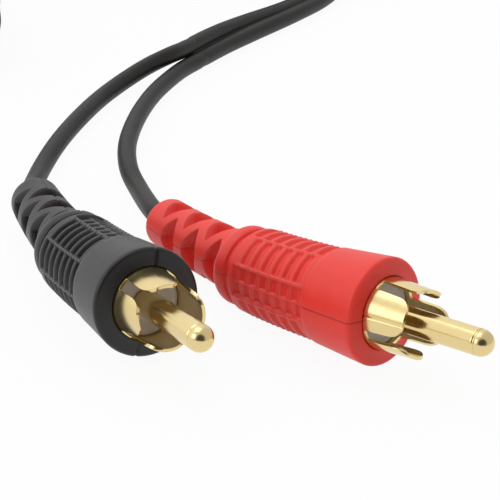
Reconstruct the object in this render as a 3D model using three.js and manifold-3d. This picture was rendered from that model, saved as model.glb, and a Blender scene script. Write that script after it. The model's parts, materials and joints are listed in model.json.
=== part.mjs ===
// Stereo phono lead: two moulded plugs on round leads that join into a flat twin lead,
// coiled and tied, with two more of the same plugs at its far end.
// Millimetres, +Z up. A plug's own axis is X, pointing out of its pin; s is the distance
// along it from the rim of the metal shell, so the moulded boot lies at negative s.
import * as THREE from 'three';
import { mergeGeometries, mergeVertices } from 'three/addons/utils/BufferGeometryUtils.js';
import Module from 'manifold-3d';

const wasm = await Module();
wasm.setup();

const fitGap = 0.3;             // clearance kept between pieces that seat on each other

// Metal parts of a plug
const pinRadius = 1.6;
const pinTip = 15.0;            // how far the pin stands out past s = 0
const pinShoulder = -4.2;       // where the pin narrows to its tail
const pinTailRadius = 1.0;
const pinTailReach = 2.4;       // how far the tail stands out behind the shell's skirt
const solderCupDepth = 2.2;
const shellRadius = 4.4;
const shellWall = 0.4;
const shellSkirt = 6.6;         // length of the shell inside the boot
const petalCount = 4;
const petalRoot = 0.6;
const petalTip = 6.4;
const petalSpread = 62;         // degrees of the circle that one petal covers
const petalCorner = 1.8;
const petalPinch = 0.15;        // how far a petal's tip leans in
const tabLength = 4.0;          // solder tab behind the skirt
const tabSpread = 44;
const tabAngle = 90;

// Insulator
const insulatorFace = -1.1;
const insulatorThickness = 3.2;
const hubRadius = 2.7;

// Lead
const leadRadius = 1.35;
const coreRadius = 0.8;
const conductorRadius = 0.35;
const shieldRadius = 0.4;
const conductorBare = 1.0;      // bare wire between the pin's tail and the insulated core
const coreBare = 3.0;           // insulated core in front of the jacket
const webThickness = 0.9;       // of the web between the two lobes of the twin lead

// Inner mould, which covers the soldered ends
const mouldShoulder = -12.6;
const mouldRearRadius = 2.4;
const mouldRear = -19.0;

// Boot
const bootFace = -0.5;
const bootEnd = -41.5;
const collarRadius = 6.56;
const collarRearRadius = 5.95;
const collarEnd = -8.3;
const rimRound = 0.9;
const lipRound = 0.35;
const gripRadius = 5.75;
const gripRearRadius = 5.36;
const gripEnd = -20.8;
const gripPanels = 8;
const groovePitch = 1.72;
const grooveWidth = 0.85;
const grooveDepth = 0.45;
const panelRidge = 5;           // degrees left standing between two panels
const partingRecess = 0.32;
const partingLand = 3;          // degrees left standing along the parting line
const neckLength = 1.3;
const neckRadius = 4.55;
const beadLength = 2.1;
const beadRadius = 5.05;
const reliefRadius = 3.85;
const reliefRearRadius = 3.22;
const endRing = 2.5;            // unslotted ring at the boot's end
const endRound = 0.8;
const slotPitch = 4.8;
const slotWidth = 2.7;
const slotFloor = 2.35;         // radius at the bottom of a slot
const slotSpread = 112;
const bendStart = -12.0;        // the boot is straight in front of here

// Facets round the collar, the other large turned pieces and the small ones, and length of
// the steps along a bent piece. The far plugs are the same moulding with fewer facets.
const nearFacets = { collar: 32, wide: 16, narrow: 12 };
const farFacets = { collar: 16, wide: 12, narrow: 8 };
const bendStep = 7.5;

// Where each plug lies: its shell rim, its heading and nose-up pitch, the parting line's
// angle, the petals' angle, and how far the boot turns and lifts towards its tail, in degrees
const black = 0x2e2d2e;
const red = 0xd9362c;
const plugs = [
  { name: 'near_black', colour: black, at: [-9.76, -14.07], heading: -61.6, pitch: 7.4,
    facets: nearFacets, parting: 102, petals: -4, turn: 9.4, lift: -7.9 },
  { name: 'near_red', colour: red, at: [17.89, -10.78], heading: -41.9, pitch: 5.6,
    facets: nearFacets, parting: 3, petals: 23, turn: 16.5, lift: -3.6 },
  { name: 'far_red', colour: red, at: [-64.5, 96.0], heading: -92, pitch: 6.4,
    facets: farFacets, parting: 40, petals: 12, turn: 6, lift: -5 },
  { name: 'far_black', colour: black, at: [-47.0, 88.0], heading: -86, pitch: 6.4,
    facets: farFacets, parting: 130, petals: 35, turn: -5, lift: -5 },
];

// Routes of the single leads on the surface, from each boot to where it meets its neighbour
const leadLift = 0.07;          // a lead's middle is this much over its own radius
const flat = leadRadius + leadLift;
const routes = {
  near_black: [[-28.5, 32.4, 2.6], [-28.4, 42.7, flat], [-27.6, 50.6, flat], [-26.6, 57.3, flat],
    [-25.1, 65.0, flat], [-23.0, 73.6, flat], [-20.0, 80.9, 2.0], [-16.7, 86.7, 2.8]],
  near_red: [[-12.9, 28.4, 2.6], [-14.6, 37.5, flat], [-16.3, 43.8, flat], [-17.3, 51.5, flat],
    [-17.4, 58.6, flat], [-16.6, 68.7, flat], [-15.1, 77.8, flat], [-12.9, 86.0, flat]],
  far_red: [[-65.2, 147.6, 2.0], [-66.2, 156.0, flat], [-67.0, 165.0, flat], [-67.0, 175.0, flat],
    [-65.7, 184.0, flat]],
  far_black: [[-52.6, 137.2, 2.2], [-55.2, 144.0, flat], [-59.0, 152.0, flat], [-60.6, 161.0, flat],
    [-61.3, 171.0, flat], [-61.2, 180.0, flat]],
};

// The twin lead between those meetings: where each lies, its heading into the twin lead, how
// far the twin lead leans there, its left side up, and the route from there to the coil
const rollOut = 32;             // the twin lead lies level again this far from a meeting
const nearJoin = { at: [-10.6, 94.5], heading: 64.6, roll: 45 };
const nearTwin = [[-6.2, 104.2], [-1.0, 114.3], [4.8, 125.1], [10.2, 136.6]];
const farJoin = { at: [-59.8, 191.0], heading: 66, roll: 0 };
const farTwin = [[-56.2, 197.6, 1.8], [-50.2, 203.8, 3.0]];

// Coil of the twin lead, held by two wire ties
const coilCentre = [-19.7, 176.0];
const coilColumns = 2;
const coilLayers = 3;
const coilInnerTurn = 29.3;     // radius of the inner column of turns
const coilSides = 40;
const entryLean = 0.6;          // how far inside the outer turn the lead is aimed
const leaveAngle = 100;         // where the far end leaves the coil
const leaveHeight = 5.2;
const tieThickness = 0.7;
const tieWidth = 4.0;
const tieCorner = 1.4;
const tieAngles = [20, 200];
const tieTailLength = 9.0;
const tieTailRadius = 0.8;

// Sizes that follow from those above
const shellBore = shellRadius - shellWall;
const pinTailEnd = -shellSkirt - pinTailReach;
const coreFront = pinTailEnd - conductorBare;
const jacketFront = coreFront - coreBare;
const tabEnd = -shellSkirt - tabLength;
const reliefStart = gripEnd - neckLength - beadLength;
const twinWidth = 4 * leadRadius;
const twinHeight = 2 * leadRadius;
const lobeOffset = leadRadius + fitGap / 2;   // of a single lead from the middle of its meeting
const coilBase = tieThickness + fitGap;
const coilTop = coilBase + coilLayers * twinHeight;
const coilBore = coilInnerTurn - twinWidth / 2;
const coilRadius = coilBore + coilColumns * twinWidth;

const rad = THREE.MathUtils.degToRad;

function mix(a, b, t) {
  return a + (b - a) * t;
}

// Points [u, v] of an arc about a centre, from one angle to another.
function arc(centre, radius, from, to, steps) {
  const points = [];
  for (let i = 0; i <= steps; i += 1) {
    const angle = rad(mix(from, to, i / steps));
    points.push([centre[0] + radius * Math.cos(angle), centre[1] + radius * Math.sin(angle)]);
  }
  return points;
}

// Points [s, r] on a straight line, close enough together for the boot's bend.
function line(from, to) {
  const steps = Math.max(1, Math.round(Math.abs(from[0] - to[0]) / bendStep));
  const points = [];
  for (let i = 0; i <= steps; i += 1) {
    points.push([mix(from[0], to[0], i / steps), mix(from[1], to[1], i / steps)]);
  }
  return points;
}

// Geometry with its shared corners joined, so that it is one closed skin.
function weld(geometry) {
  const bare = new THREE.BufferGeometry();
  bare.setAttribute('position', geometry.getAttribute('position').clone());
  if (geometry.index) bare.setIndex(geometry.index.clone());
  const joined = mergeVertices(bare, 1e-4);
  const corners = joined.index.array;
  const kept = [];
  for (let i = 0; i < corners.length; i += 3) {
    const [a, b, c] = corners.slice(i, i + 3);
    if (a !== b && b !== c && c !== a) kept.push(a, b, c);
  }
  joined.setIndex(kept);
  return joined;
}

function toSolid(geometry) {
  const closed = weld(geometry);
  return new wasm.Manifold(new wasm.Mesh({
    numProp: 3,
    vertProperties: new Float32Array(closed.getAttribute('position').array),
    triVerts: new Uint32Array(closed.index.array),
  }));
}

function toGeometry(solid) {
  const cut = solid.getMesh();
  const geometry = new THREE.BufferGeometry();
  geometry.setAttribute('position', new THREE.BufferAttribute(new Float32Array(cut.vertProperties), 3));
  geometry.setIndex(Array.from(cut.triVerts));
  return geometry;
}

// A profile of [s, r] points turned about the plug's axis. It runs from front to back along
// the outside, and either starts and ends on the axis or closes on itself.
function turned(profile, sides) {
  const points = profile.map(([s, r]) => new THREE.Vector2(r, s)).reverse();
  return weld(new THREE.LatheGeometry(points, sides)).rotateZ(-Math.PI / 2);
}

// A closed profile is one whose last point repeats its first.
function ring(profile, sides) {
  return turned([...profile, profile[0]], sides);
}

// Joins sections of equally many points into one closed skin with flat ends.
function loft(sections) {
  const size = sections[0].length;
  const index = [];
  for (let i = 0; i + 1 < sections.length; i += 1) {
    for (let j = 0; j < size; j += 1) {
      const a = i * size + j;
      const b = i * size + ((j + 1) % size);
      index.push(a, b, b + size, a, b + size, a + size);
    }
  }
  const last = (sections.length - 1) * size;
  for (let j = 1; j + 1 < size; j += 1) {
    index.push(0, j + 1, j);
    index.push(last, last + j, last + j + 1);
  }
  const geometry = new THREE.BufferGeometry();
  geometry.setAttribute('position', new THREE.Float32BufferAttribute(sections.flat(2), 3));
  geometry.setIndex(index);
  return geometry;
}

// A point on the plug at radius r: 0 degrees lies to -Y and 90 degrees up.
function onPlug(s, r, degrees) {
  return [s, -r * Math.cos(rad(degrees)), r * Math.sin(rad(degrees))];
}

// A part-turn body about the plug's axis, through the given angles. section(angle) gives its
// four [s, r] corners: front outer, front inner, back inner and back outer.
function sector(angles, section) {
  return loft(angles.map((angle) => section(angle).map(([s, r]) => onPlug(s, r, angle))));
}

function anglesAcross(centre, spread, steps) {
  return Array.from({ length: steps + 1 }, (_, i) => centre + spread * (i / steps - 0.5));
}

function block(front, back, inner, outer) {
  return () => [[front, outer], [front, inner], [back, inner], [back, outer]];
}

// Moves what lies behind bendStart onto an arc that turns and lifts by the plug's angles.
// With n the side the arc leans to, a point that is off the axis by a along n and at the
// arc angle t goes to: back (R + a) sin t, and along n by (R + a) cos t - R.
function bend(geometry, plug) {
  const total = Math.hypot(rad(plug.turn), rad(plug.lift));
  const radius = (bendStart - bootEnd) / total;
  const lean = new THREE.Vector2(-rad(plug.turn), rad(plug.lift)).divideScalar(total);
  const position = geometry.getAttribute('position');
  for (let i = 0; i < position.count; i += 1) {
    const x = position.getX(i);
    const y = position.getY(i);
    const z = position.getZ(i);
    if (x < bendStart) {
      const angle = (bendStart - x) / radius;
      const off = y * lean.x + z * lean.y;
      const level = -y * lean.y + z * lean.x;
      const moved = (radius + off) * Math.cos(angle) - radius;
      position.setXYZ(i, bendStart - (radius + off) * Math.sin(angle),
        moved * lean.x - level * lean.y, moved * lean.y + level * lean.x);
    }
  }
  return geometry;
}

// Metal parts

function pin(plug) {
  const cup = conductorRadius + fitGap;
  const cupFloor = pinTailEnd + solderCupDepth;
  return turned([
    ...arc([pinTip - pinRadius, 0], pinRadius, 0, 90, 4),
    [pinShoulder, pinRadius],
    [pinShoulder, pinTailRadius],
    [pinTailEnd, pinTailRadius],
    [pinTailEnd, cup],
    [cupFloor, cup],
    [cupFloor, 0],
  ], plug.facets.narrow);
}

// What is cut from the shell's tube between two petals, with the petals' corners rounded.
function petalGap(centre) {
  const half = 180 / petalCount - petalSpread / 2;
  const corner = THREE.MathUtils.radToDeg(petalCorner / shellRadius);
  const slant = 0.4;
  const beyond = petalTip + 1;
  const rounded = [];
  for (let i = 0; i <= 2; i += 1) {
    const turn = rad(45 * i);
    rounded.push({ angle: half + corner * (1 - Math.cos(turn)),
      back: petalTip - petalCorner * (1 - Math.sin(turn)) });
  }
  const side = [{ angle: half - slant, back: petalRoot }, ...rounded];
  const other = side.map(({ angle, back }) => ({ angle: -angle, back })).reverse();
  return loft([...other, ...side].map(({ angle, back }) => [
    onPlug(beyond, shellRadius + 1, centre + angle),
    onPlug(beyond, shellBore - 1, centre + angle),
    onPlug(back, shellBore - 1, centre + angle),
    onPlug(back, shellRadius + 1, centre + angle),
  ]));
}

function shell(plug) {
  let body = toSolid(ring([
    [petalTip, shellBore - petalPinch],
    [petalTip, shellRadius - petalPinch],
    [petalRoot, shellRadius],
    [tabEnd, shellRadius],
    [tabEnd, shellBore],
    [petalRoot, shellBore],
  ], plug.facets.wide));
  for (let i = 0; i < petalCount; i += 1) {
    const centre = plug.petals + ((i + 0.5) * 360) / petalCount;
    body = body.subtract(toSolid(petalGap(centre)));
  }
  const openTurn = anglesAcross(tabAngle + 180, 360 - tabSpread, 8);
  const behind = sector(openTurn, block(-shellSkirt, tabEnd - 1, shellBore - 1, shellRadius + 1));
  return toGeometry(body.subtract(toSolid(behind)));
}

// Insulator, inner mould and lead

function insulator(plug) {
  const disc = insulatorFace - insulatorThickness;
  return ring([
    [insulatorFace, pinRadius + fitGap],
    [insulatorFace, shellBore - fitGap],
    [disc, shellBore - fitGap],
    [disc, hubRadius],
    [-shellSkirt, hubRadius],
    [-shellSkirt, pinTailRadius + fitGap],
    [pinShoulder - fitGap, pinTailRadius + fitGap],
    [pinShoulder - fitGap, pinRadius + fitGap],
  ], plug.facets.narrow);
}

function shieldPath(reach) {
  const start = jacketFront + fitGap + shieldRadius;
  const under = shellBore - fitGap - shieldRadius;
  const near = coreRadius + fitGap + shieldRadius;
  const rear = new THREE.Vector3(...onPlug(start, near, tabAngle));
  const knee = new THREE.Vector3(...onPlug(tabEnd + 0.8, under, tabAngle));
  const front = new THREE.Vector3(...onPlug(tabEnd + 2.4 + reach, under, tabAngle));
  return new THREE.CatmullRomCurve3([rear, knee, front]);
}

function circle(radius, sides) {
  return new THREE.Shape(arc([0, 0], radius, 0, 360, sides).slice(0, sides)
    .map(([x, y]) => new THREE.Vector2(x, y)));
}

function tube(path, shape, steps) {
  return weld(new THREE.ExtrudeGeometry(shape, { extrudePath: path, steps, bevelEnabled: false }));
}

function shieldTail() {
  return tube(shieldPath(0), circle(shieldRadius, 6), 4);
}

function mould(plug) {
  const front = -shellSkirt - fitGap;
  const body = ring([
    [front, shellRadius],
    ...line([mouldShoulder, shellRadius], [mouldRear, mouldRearRadius]),
    ...line([mouldRear, leadRadius + fitGap], [jacketFront + fitGap, leadRadius + fitGap]),
    [jacketFront + fitGap, coreRadius + fitGap],
    [pinTailEnd - fitGap, coreRadius + fitGap],
    [pinTailEnd - fitGap, pinTailRadius + fitGap],
    [front, pinTailRadius + fitGap],
  ], plug.facets.narrow);
  const groove = sector(anglesAcross(tabAngle, tabSpread + 10, 3),
    block(front + 1, tabEnd - fitGap, shellBore - fitGap, shellRadius + 1));
  const channel = tube(shieldPath(1), circle(shieldRadius + fitGap, 6), 5);
  return bend(toGeometry(toSolid(body).subtract(toSolid(groove)).subtract(toSolid(channel))), plug);
}

function rod(front, back, radius, plug) {
  return bend(turned([[front, 0], ...line([front, radius], [back, radius]), [back, 0]], 8), plug);
}

function conductor(plug) {
  return rod(pinTailEnd + solderCupDepth - fitGap, coreFront + fitGap, conductorRadius, plug);
}

function leadCore(plug) {
  return rod(coreFront, jacketFront + fitGap, coreRadius, plug);
}

function leadEnd(plug) {
  return rod(jacketFront, bootEnd, leadRadius, plug);
}

// Boot

function gripSurface(s) {
  return mix(gripRadius, gripRearRadius, (s - collarEnd) / (gripEnd - collarEnd));
}

function reliefSurface(s) {
  return mix(reliefRadius, reliefRearRadius, (s - reliefStart) / (bootEnd - reliefStart));
}

// Grooves that run all round, as points of the hull's profile.
function ringGrooves() {
  const points = [];
  for (let s = collarEnd - grooveWidth; s - grooveWidth > gripEnd; s -= groovePitch) {
    const low = gripSurface(s) - grooveDepth;
    points.push([s + grooveWidth / 2, gripSurface(s)], [s + grooveWidth / 2, low]);
    points.push([s - grooveWidth / 2, low], [s - grooveWidth / 2, gripSurface(s)]);
  }
  return points;
}

function collar(plug) {
  const step = collarEnd - (collarRearRadius - gripRadius);
  return turned([
    [bootFace, 0],
    ...arc([bootFace - rimRound, collarRadius - rimRound], rimRound, 0, 90, 2),
    [collarEnd, collarRearRadius],
    [step, gripRadius],
    [step, 0],
  ], plug.facets.collar);
}

function gripAndRelief(plug, grooves) {
  const neck = gripEnd - neckLength;
  const last = bootEnd + endRound;
  return turned([
    [collarEnd + 1, 0],
    [collarEnd + 1, gripRadius],
    [collarEnd, gripRadius],
    ...grooves,
    [gripEnd, gripRearRadius],
    [gripEnd, neckRadius],
    [neck, neckRadius],
    [neck - 0.3 * beadLength, beadRadius],
    [neck - 0.8 * beadLength, beadRadius],
    ...line([reliefStart, reliefRadius], [last, reliefSurface(last)]),
    ...arc([last, reliefSurface(last) - endRound], endRound, 90, 180, 2).slice(1),
    [bootEnd, 0],
  ], plug.facets.wide);
}

function bootCavity(plug) {
  const seat = shellRadius + fitGap;
  const hole = leadRadius + fitGap;
  const lip = arc([bootFace - lipRound, seat + lipRound], lipRound, 0, -90, 2);
  return turned([
    [bootFace + 1, 0],
    [bootFace + 1, seat + lipRound],
    ...lip,
    [mouldShoulder - fitGap, seat],
    [mouldRear - fitGap, mouldRearRadius + fitGap],
    ...line([mouldRear - fitGap, hole], [bootEnd - 1, hole]),
    [bootEnd - 1, 0],
  ], plug.facets.wide);
}

function groove(centre, spread, s) {
  const surface = gripSurface(s);
  return sector(anglesAcross(centre, spread, 1),
    block(s + grooveWidth / 2, s - grooveWidth / 2, surface - grooveDepth, surface + 1));
}

// Grooves all along one panel, as far as whole ones fit.
function grooveRow(centre, spread, shift) {
  const row = [];
  const first = collarEnd - grooveWidth - shift * groovePitch;
  for (let s = first; s - grooveWidth > gripEnd; s -= groovePitch) row.push(groove(centre, spread, s));
  return row;
}

// The two panels on the parting line are sunk, and the line splits their grooves in two rows.
function partingPanel(centre, spread) {
  const front = collarEnd - grooveWidth / 2;
  const back = gripEnd + grooveWidth / 2;
  const sunk = sector(anglesAcross(centre, spread, 1), () => [
    [front, gripRadius + 1],
    [front, gripSurface(front) - partingRecess],
    [back, gripSurface(back) - partingRecess],
    [back, gripRadius + 1],
  ]);
  const row = (spread - panelRidge) / 2 - partingLand;
  const offset = (row + partingLand) / 2;
  return [sunk, ...grooveRow(centre - offset, row, 0), ...grooveRow(centre + offset, row, 0.5)];
}

function gripCuts() {
  const pitch = 360 / gripPanels;
  const cuts = [];
  for (let i = 0; i < gripPanels; i += 1) {
    const onParting = (i * pitch) % 180 === 0;
    const spread = pitch - panelRidge;
    const panel = onParting ? partingPanel(i * pitch, spread) : grooveRow(i * pitch, spread, (i % 2) / 2);
    cuts.push(...panel);
  }
  return cuts;
}

// A slot is widest at its middle and runs out to a point at each end. Its front wall is
// square to the axis and its rear wall slants.
function slot(centre, s) {
  const outer = beadRadius;
  return sector(anglesAcross(centre, slotSpread, 2), (angle) => {
    const t = Math.abs(angle - centre) / (slotSpread / 2);
    const half = Math.max(0.04, (slotWidth / 2) * (1 - t));
    return [[s + half, outer], [s + half, slotFloor], [s - half / 2, slotFloor], [s - half * 1.4, outer]];
  });
}

function reliefCuts() {
  const cuts = [];
  const first = reliefStart - slotWidth / 2;
  const last = bootEnd + endRing + slotWidth / 2;
  for (let i = 0; first - (i * slotPitch) / 2 >= last; i += 1) {
    const turn = (i % 2) * 90;
    const s = first - (i * slotPitch) / 2;
    cuts.push(slot(turn, s), slot(turn + 180, s));
  }
  return cuts;
}

function boot(plug) {
  const shaped = (geometry) => toSolid(bend(geometry.rotateX(-rad(plug.parting)), plug));
  const near = plug.facets === nearFacets;
  const cuts = near ? [...gripCuts(), ...reliefCuts()] : reliefCuts();
  let body = shaped(collar(plug)).add(shaped(gripAndRelief(plug, near ? [] : ringGrooves())));
  body = body.subtract(shaped(bootCavity(plug)));
  for (const cut of cuts) body = body.subtract(shaped(cut));
  return toGeometry(body);
}

// Meshes

function mesh(name, geometry, colour, roughness, metalness) {
  const material = new THREE.MeshStandardMaterial({ color: colour, roughness, metalness, flatShading: true });
  const piece = new THREE.Mesh(geometry, material);
  piece.name = name;
  return piece;
}

const gold = 0xd9b45f;
const grey = 0x80797a;
const jacket = 0x35332f;
const white = 0xdedbd2;
const copper = 0xc07a4c;

function plugPieces(plug) {
  return [
    mesh(`${plug.name}_boot`, boot(plug), plug.colour, 0.55, 0),
    mesh(`${plug.name}_shell`, shell(plug), gold, 0.12, 1),
    mesh(`${plug.name}_pin`, pin(plug), gold, 0.1, 1),
    mesh(`${plug.name}_insulator`, insulator(plug), grey, 0.35, 0),
    mesh(`${plug.name}_inner_mould`, mould(plug), white, 0.6, 0),
    mesh(`${plug.name}_lead_end`, leadEnd(plug), jacket, 0.5, 0),
    mesh(`${plug.name}_lead_core`, leadCore(plug), white, 0.5, 0),
    mesh(`${plug.name}_conductor`, conductor(plug), copper, 0.35, 1),
    mesh(`${plug.name}_shield_tail`, shieldTail(), copper, 0.45, 1),
  ];
}

// A plug lies with its boot on the surface.
function laidPlug(plug) {
  const group = new THREE.Group();
  group.add(...plugPieces(plug));
  group.rotation.set(0, -rad(plug.pitch), rad(plug.heading), 'ZYX');
  group.position.set(plug.at[0], plug.at[1], 0);
  group.updateMatrixWorld(true);
  const reach = new THREE.Box3().setFromObject(group.children[0], true);
  group.position.z = -reach.min.z;
  group.updateMatrixWorld(true);
  return group;
}

// The point on a laid plug's bent axis at s.
function axisPoint(group, plug, s) {
  const point = new THREE.BufferGeometry();
  point.setAttribute('position', new THREE.Float32BufferAttribute([s, 0, 0], 3));
  const position = bend(point, plug).getAttribute('position');
  return group.localToWorld(new THREE.Vector3().fromBufferAttribute(position, 0));
}

// A point on one lead, back from where it meets the twin lead: side is 1 on the left of the
// twin lead's heading.
function lobePoint(join, side, back) {
  const angle = rad(join.heading);
  const along = new THREE.Vector2(Math.cos(angle), Math.sin(angle));
  const across = side * lobeOffset * Math.cos(rad(join.roll));
  const x = join.at[0] - along.y * across - along.x * back;
  const y = join.at[1] + along.x * across - along.y * back;
  return new THREE.Vector3(x, y, flat + (1 + side) * lobeOffset * Math.sin(rad(join.roll)));
}

function vectors(points) {
  return points.map(([x, y, z = flat]) => new THREE.Vector3(x, y, z));
}

function singleLead(group, plug, join, side) {
  const path = new THREE.CatmullRomCurve3([
    axisPoint(group, plug, bootEnd - fitGap),
    axisPoint(group, plug, bootEnd - fitGap - 2 * leadRadius),
    ...vectors(routes[plug.name]),
    lobePoint(join, side, fitGap + 2 * leadRadius),
    lobePoint(join, side, fitGap),
  ], false, 'centripetal');
  const steps = Math.round(path.getLength() / (2.4 * 2 * leadRadius));
  return mesh(`${plug.name}_lead`, tube(path, circle(leadRadius, 8), steps), jacket, 0.5, 0);
}

// Section of the twin lead, as points across and over its middle: two round lobes side by
// side with a thin web between them.
function twinSection() {
  const lobe = [-126, -63, 0, 63, 126].map((angle) => [
    leadRadius + leadRadius * Math.cos(rad(angle)),
    leadRadius * Math.sin(rad(angle)),
  ]);
  return [
    ...lobe,
    [0, webThickness / 2],
    ...lobe.map(([across, over]) => [-across, -over]),
    [0, -webThickness / 2],
  ];
}

// Where the twin lead's solid stops beside the coil at an angle of the coil: turn is -1
// where it comes in and 1 where it leaves.
function coilSide(angle, turn, height) {
  const across = coilRadius - twinWidth / 2 - entryLean;
  const along = Math.sqrt((coilRadius + fitGap) ** 2 - (across - twinWidth / 2) ** 2);
  const out = new THREE.Vector2(Math.cos(rad(angle)), Math.sin(rad(angle)));
  const x = coilCentre[0] + across * out.x - turn * along * out.y;
  const y = coilCentre[1] + across * out.y + turn * along * out.x;
  return new THREE.Vector3(x, y, height);
}

// The twin lead leans at its meeting and eases out of that along its route.
function twinLead(name, join, points, end) {
  const start = new THREE.Vector3(...join.at, flat);
  const path = new THREE.CatmullRomCurve3([start, ...vectors(points), end], false, 'centripetal');
  const length = path.getLength();
  const steps = Math.round(length / (2 * twinWidth));
  const sections = [];
  for (let i = 0; i <= steps; i += 1) {
    const at = path.getPointAt(i / steps);
    const ahead = path.getTangentAt(i / steps);
    const left = new THREE.Vector3(-ahead.y, ahead.x, 0).normalize();
    const over = new THREE.Vector3().crossVectors(ahead, left);
    const roll = rad(join.roll) * (1 - THREE.MathUtils.smoothstep((i / steps) * length, 0, rollOut));
    at.z += lobeOffset * Math.sin(roll);
    sections.push(twinSection().map(([u, v]) => at.clone()
      .addScaledVector(left, u * Math.cos(roll) - v * Math.sin(roll))
      .addScaledVector(over, u * Math.sin(roll) + v * Math.cos(roll))
      .toArray()));
  }
  return mesh(name, loft(sections), jacket, 0.5, 0);
}

function coil() {
  const outline = [[coilRadius, coilBase], [coilRadius, coilTop], [coilBore, coilTop], [coilBore, coilBase]];
  const points = [...outline, outline[0]].map(([r, z]) => new THREE.Vector2(r, z));
  const geometry = weld(new THREE.LatheGeometry(points, coilSides)).rotateX(Math.PI / 2);
  geometry.translate(coilCentre[0], coilCentre[1], 0);
  return mesh('twin_lead_coil', geometry, jacket, 0.5, 0);
}

function roundedFrame(left, right, low, high, corner) {
  return [
    ...arc([right - corner, low + corner], corner, -90, 0, 3),
    ...arc([right - corner, high - corner], corner, 0, 90, 3),
    ...arc([left + corner, high - corner], corner, 90, 180, 3),
    ...arc([left + corner, low + corner], corner, 180, 270, 3),
  ].map(([x, y]) => new THREE.Vector2(x, y));
}

// A wire tie round the coil, with its two ends twisted together on top.
function tie(name, angle) {
  const reach = fitGap + tieThickness;
  const shape = new THREE.Shape(roundedFrame(coilBore - reach, coilRadius + reach, coilBase - reach,
    coilTop + reach, tieCorner));
  shape.holes.push(new THREE.Path(roundedFrame(coilBore - fitGap, coilRadius + fitGap, coilBase - fitGap,
    coilTop + fitGap, tieCorner - tieThickness)));
  const band = new THREE.ExtrudeGeometry(shape, { depth: tieWidth, bevelEnabled: false });
  band.translate(0, 0, -tieWidth / 2).rotateX(Math.PI / 2);
  const tail = new THREE.CylinderGeometry(tieTailRadius, tieTailRadius, tieTailLength, 8);
  tail.translate((coilBore + coilRadius) / 2, 0, 0);
  tail.translate(0, tieTailLength / 2 - tieWidth / 4, coilTop + reach + tieTailRadius / 2);
  const geometry = toGeometry(toSolid(band).add(toSolid(tail)));
  geometry.rotateZ(rad(angle)).translate(coilCentre[0], coilCentre[1], 0);
  return mesh(name, geometry, black, 0.4, 0);
}

const model = new THREE.Group();
const joins = {
  near_black: [nearJoin, 1], near_red: [nearJoin, -1], far_red: [farJoin, 1], far_black: [farJoin, -1],
};
for (const plug of plugs) {
  const group = laidPlug(plug);
  model.add(group, singleLead(group, plug, ...joins[plug.name]));
}
model.add(
  twinLead('near_twin_lead', nearJoin, nearTwin, coilSide(0, -1, coilBase + leadRadius)),
  twinLead('far_twin_lead', farJoin, farTwin, coilSide(leaveAngle, 1, leaveHeight)),
  coil(),
  ...tieAngles.map((angle, i) => tie(`coil_tie_${i + 1}`, angle)),
);

// The origin is under the middle of the two near plugs, on the surface they lie on.
const nearPlugs = new THREE.Box3();
model.updateMatrixWorld(true);
model.traverse((piece) => {
  if (piece.isMesh && /^near_(black|red)_(?!lead$)/.test(piece.name)) nearPlugs.expandByObject(piece, true);
});
const middle = nearPlugs.getCenter(new THREE.Vector3());
model.position.set(-middle.x, -middle.y, -nearPlugs.min.z);

export default model;
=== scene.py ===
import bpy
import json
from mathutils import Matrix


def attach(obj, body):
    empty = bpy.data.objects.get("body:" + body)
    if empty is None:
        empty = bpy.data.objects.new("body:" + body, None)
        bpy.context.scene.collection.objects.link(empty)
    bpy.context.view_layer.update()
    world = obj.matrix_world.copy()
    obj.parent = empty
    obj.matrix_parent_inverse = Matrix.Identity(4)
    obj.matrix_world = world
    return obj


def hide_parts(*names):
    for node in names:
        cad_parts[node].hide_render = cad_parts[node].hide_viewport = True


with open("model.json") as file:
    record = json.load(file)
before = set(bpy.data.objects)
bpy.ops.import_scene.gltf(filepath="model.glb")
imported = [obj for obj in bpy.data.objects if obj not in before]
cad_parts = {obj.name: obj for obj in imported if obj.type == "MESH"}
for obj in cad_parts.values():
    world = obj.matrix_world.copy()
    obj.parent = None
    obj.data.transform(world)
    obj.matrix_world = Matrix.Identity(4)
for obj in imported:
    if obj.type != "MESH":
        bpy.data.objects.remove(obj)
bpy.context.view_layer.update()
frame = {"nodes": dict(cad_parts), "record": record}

import json
import math
import bmesh
import bpy
import numpy as np
from mathutils import Matrix, Vector

# Lengths are in millimetres and become metres where a mesh is made.
# A plug's own axis is x, out of its pin, and s is the distance along it from the shell's rim.
mm = 0.001

# In degrees about a plug's axis: its parting line, its petals and its shell's seam, and how
# far its tail turns and lifts. For each petal: its reach and how far it leans in, along a bow.
# The grip's grooves are given as deep, wide and soft, the parting line as deep and half wide.
plugs = {
    "near_black": {"colour": "black", "fine": 1.0, "parting": 102, "petals": -4, "seam": 150,
                   "turn": 9.4, "lift": -7.9, "reach": (4.6, 4.8, 6.4, 5.25),
                   "lean": (0.9, 0.9, 0.3, 0.3), "bow": 0.8,
                   "grooves": (0.6, 1.05, 0.5), "line": (0.2, 0.22)},
    "near_red": {"colour": "red", "fine": 1.0, "parting": 3, "petals": 23, "seam": 11,
                 "turn": 16.5, "lift": -3.6, "reach": (5.1, 5.5, 5.7, 5.4),
                 "lean": (0.6, 0.3, 0.3, 0.3), "bow": 0.9,
                 "grooves": (0.42, 0.85, 0.6), "line": (0.06, 0.14)},
    "far_red": {"colour": "red", "fine": 0.5, "parting": 40, "petals": 12, "seam": 0,
                "turn": 6, "lift": -5, "reach": (6.4, 6.3, 6.4, 6.4),
                "lean": (0.3, 0.4, 0.3, 0.4), "bow": 0.6,
                "grooves": (0.4, 0.85, 0.5), "line": (0.08, 0.2)},
    "far_black": {"colour": "black", "fine": 0.5, "parting": 130, "petals": 35, "seam": 40,
                  "turn": -5, "lift": -5, "reach": (6.4, 6.4, 6.3, 6.4),
                  "lean": (0.3, 0.4, 0.3, 0.3), "bow": 0.6,
                  "grooves": (0.5, 0.95, 0.5), "line": (0.08, 0.2)},
}


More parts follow.
